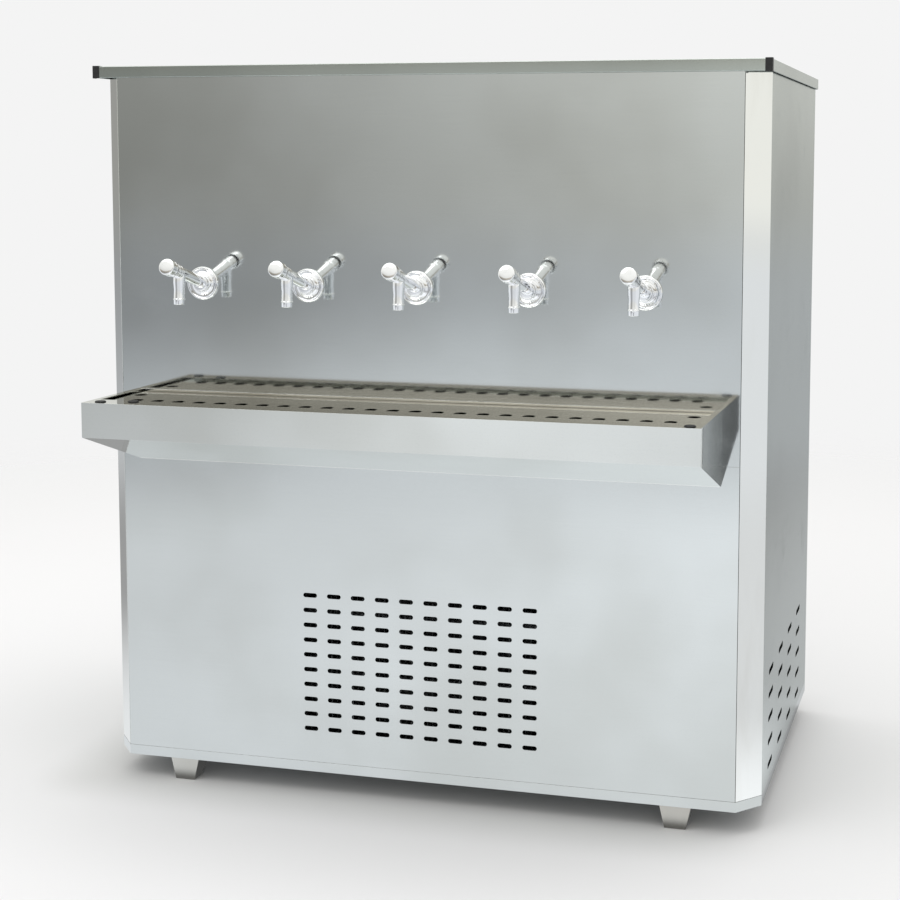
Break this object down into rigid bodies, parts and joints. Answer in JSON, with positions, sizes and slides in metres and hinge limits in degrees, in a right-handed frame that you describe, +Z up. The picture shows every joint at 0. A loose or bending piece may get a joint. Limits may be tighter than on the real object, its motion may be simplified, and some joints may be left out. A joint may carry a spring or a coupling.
{
  "type": "drinking water cooler",
  "caption": "Free-standing refrigerated stainless-steel drinking-water cooler with self-closing push taps over a full-width drip tray.",
  "frame": {"origin": "middle of the footprint on the floor, the tray and the rear fittings included", "axes": "+X to the user's right when facing the taps, +Y to the back, +Z up; the taps face -Y"},
  "size_m": [1.2124, 0.949, 1.3012],
  "materials": {
    "front_steel": "satin brushed stainless sheet",
    "side_steel": "fine brushed stainless sheet",
    "mirror_steel": "mirror polished stainless",
    "tray_steel": "bright polished stainless",
    "tap_chrome": "bright chrome plate",
    "foot_steel": "folded stainless",
    "galvanised": "galvanised sheet",
    "black_plastic": "moulded black plastic",
    "black_rubber": "rubber",
    "black_paint": "satin black enamel",
    "foam": "rigid foam board",
    "copper": "bare copper tube",
    "fin_metal": "mill finish fins",
    "fan_metal": "pressed aluminium",
    "spring_steel": "spring wire"
  },
  "bodies": {
    "cabinet": {"base_frame": "front_steel", "foot_front_left": "foot_steel", "foot_front_right": "foot_steel", "foot_rear_left": "foot_steel", "foot_rear_right": "foot_steel", "front_panel_upper": "front_steel", "front_panel_lower": "front_steel", "corner_trim_left": "mirror_steel", "corner_trim_right": "mirror_steel", "side_panel_left": "side_steel", "side_panel_right": "side_steel", "back_panel": "side_steel", "frame_posts": "galvanised", "tank_deck": "galvanised", "drip_tray": "tray_steel", "tray_plugs": "black_rubber", "drain_pipe": "galvanised", "water_tank": "tray_steel", "tank_cover": "tray_steel", "insulation_jacket": "foam", "evaporator_coil": "copper", "supply_manifold": "tray_steel", "float_valve": "tap_chrome", "compressor": "black_paint", "compressor_mounts": "black_rubber", "condenser": "fin_metal", "fan_shroud": "galvanised", "fan_motor": "black_paint", "filter_drier": "copper", "refrigerant_pipes": "copper", "terminal_box": "black_plastic", "cable_gland": "black_plastic", "inlet_fitting": "tap_chrome", "panel_screws": "tap_chrome", "tap_flanges": "tap_chrome", "tap_seals": "black_rubber", "tap_locknuts": "tap_chrome", "tap_body_1": "tap_chrome", "tap_body_2": "tap_chrome", "tap_body_3": "tap_chrome", "tap_body_4": "tap_chrome", "tap_body_5": "tap_chrome", "tap_spring_1": "spring_steel", "tap_spring_2": "spring_steel", "tap_spring_3": "spring_steel", "tap_spring_4": "spring_steel", "tap_spring_5": "spring_steel"},
    "lid": {"top_lid": "side_steel", "lid_corner_caps": "black_plastic"},
    "plate": {"drain_plate": "tray_steel"},
    "fan": {"fan_blades": "fan_metal"},
    "float": {"float_arm": "copper"},
    "thermostat": {"thermostat_knob": "black_plastic"},
    "rocker": {"rocker_switch": "black_plastic"},
    "button_1": {"tap_button_1": "tap_chrome"},
    "button_2": {"tap_button_2": "tap_chrome"},
    "button_3": {"tap_button_3": "tap_chrome"},
    "button_4": {"tap_button_4": "tap_chrome"},
    "button_5": {"tap_button_5": "tap_chrome"}
  },
  "joints": [
    {"name": "lid_lift", "type": "slide", "parent": "cabinet", "child": "lid", "axis": [0, 0, 1], "range_m": [0, 0.12]},
    {"name": "plate_lift", "type": "slide", "parent": "cabinet", "child": "plate", "axis": [0, 0, 1], "range_m": [0, 0.09]},
    {"name": "fan_spin", "type": "hinge", "parent": "cabinet", "child": "fan", "pos_m": [0, -0.1672, 0.228], "axis": [0, 1, 0], "continuous": true},
    {"name": "float_swing", "type": "hinge", "parent": "cabinet", "child": "float", "pos_m": [-0.41, 0.319, 1.144], "axis": [1, 0, 0], "range_deg": [-8, 28]},
    {"name": "thermostat_turn", "type": "hinge", "parent": "cabinet", "child": "thermostat", "pos_m": [0.378, 0.4505, 0.33], "axis": [0, 1, 0], "range_deg": [0, 270]},
    {"name": "rocker_tilt", "type": "hinge", "parent": "cabinet", "child": "rocker", "pos_m": [0.446, 0.441, 0.33], "axis": [1, 0, 0], "range_deg": [-8, 8]},
    {"name": "tap_1_push", "type": "slide", "parent": "cabinet", "child": "button_1", "axis": [0, 0.9673, -0.2538], "range_m": [0, 0.005], "stiffness_N_per_m": 1500, "springref_m": -0.004, "deforming": ["tap_spring_1"]},
    {"name": "tap_2_push", "type": "slide", "parent": "cabinet", "child": "button_2", "axis": [0, 0.9673, -0.2538], "range_m": [0, 0.005], "stiffness_N_per_m": 1500, "springref_m": -0.004, "deforming": ["tap_spring_2"]},
    {"name": "tap_3_push", "type": "slide", "parent": "cabinet", "child": "button_3", "axis": [0, 0.9673, -0.2538], "range_m": [0, 0.005], "stiffness_N_per_m": 1500, "springref_m": -0.004, "deforming": ["tap_spring_3"]},
    {"name": "tap_4_push", "type": "slide", "parent": "cabinet", "child": "button_4", "axis": [0, 0.9673, -0.2538], "range_m": [0, 0.005], "stiffness_N_per_m": 1500, "springref_m": -0.004, "deforming": ["tap_spring_4"]},
    {"name": "tap_5_push", "type": "slide", "parent": "cabinet", "child": "button_5", "axis": [0, 0.9673, -0.2538], "range_m": [0, 0.005], "stiffness_N_per_m": 1500, "springref_m": -0.004, "deforming": ["tap_spring_5"]}
  ]
}
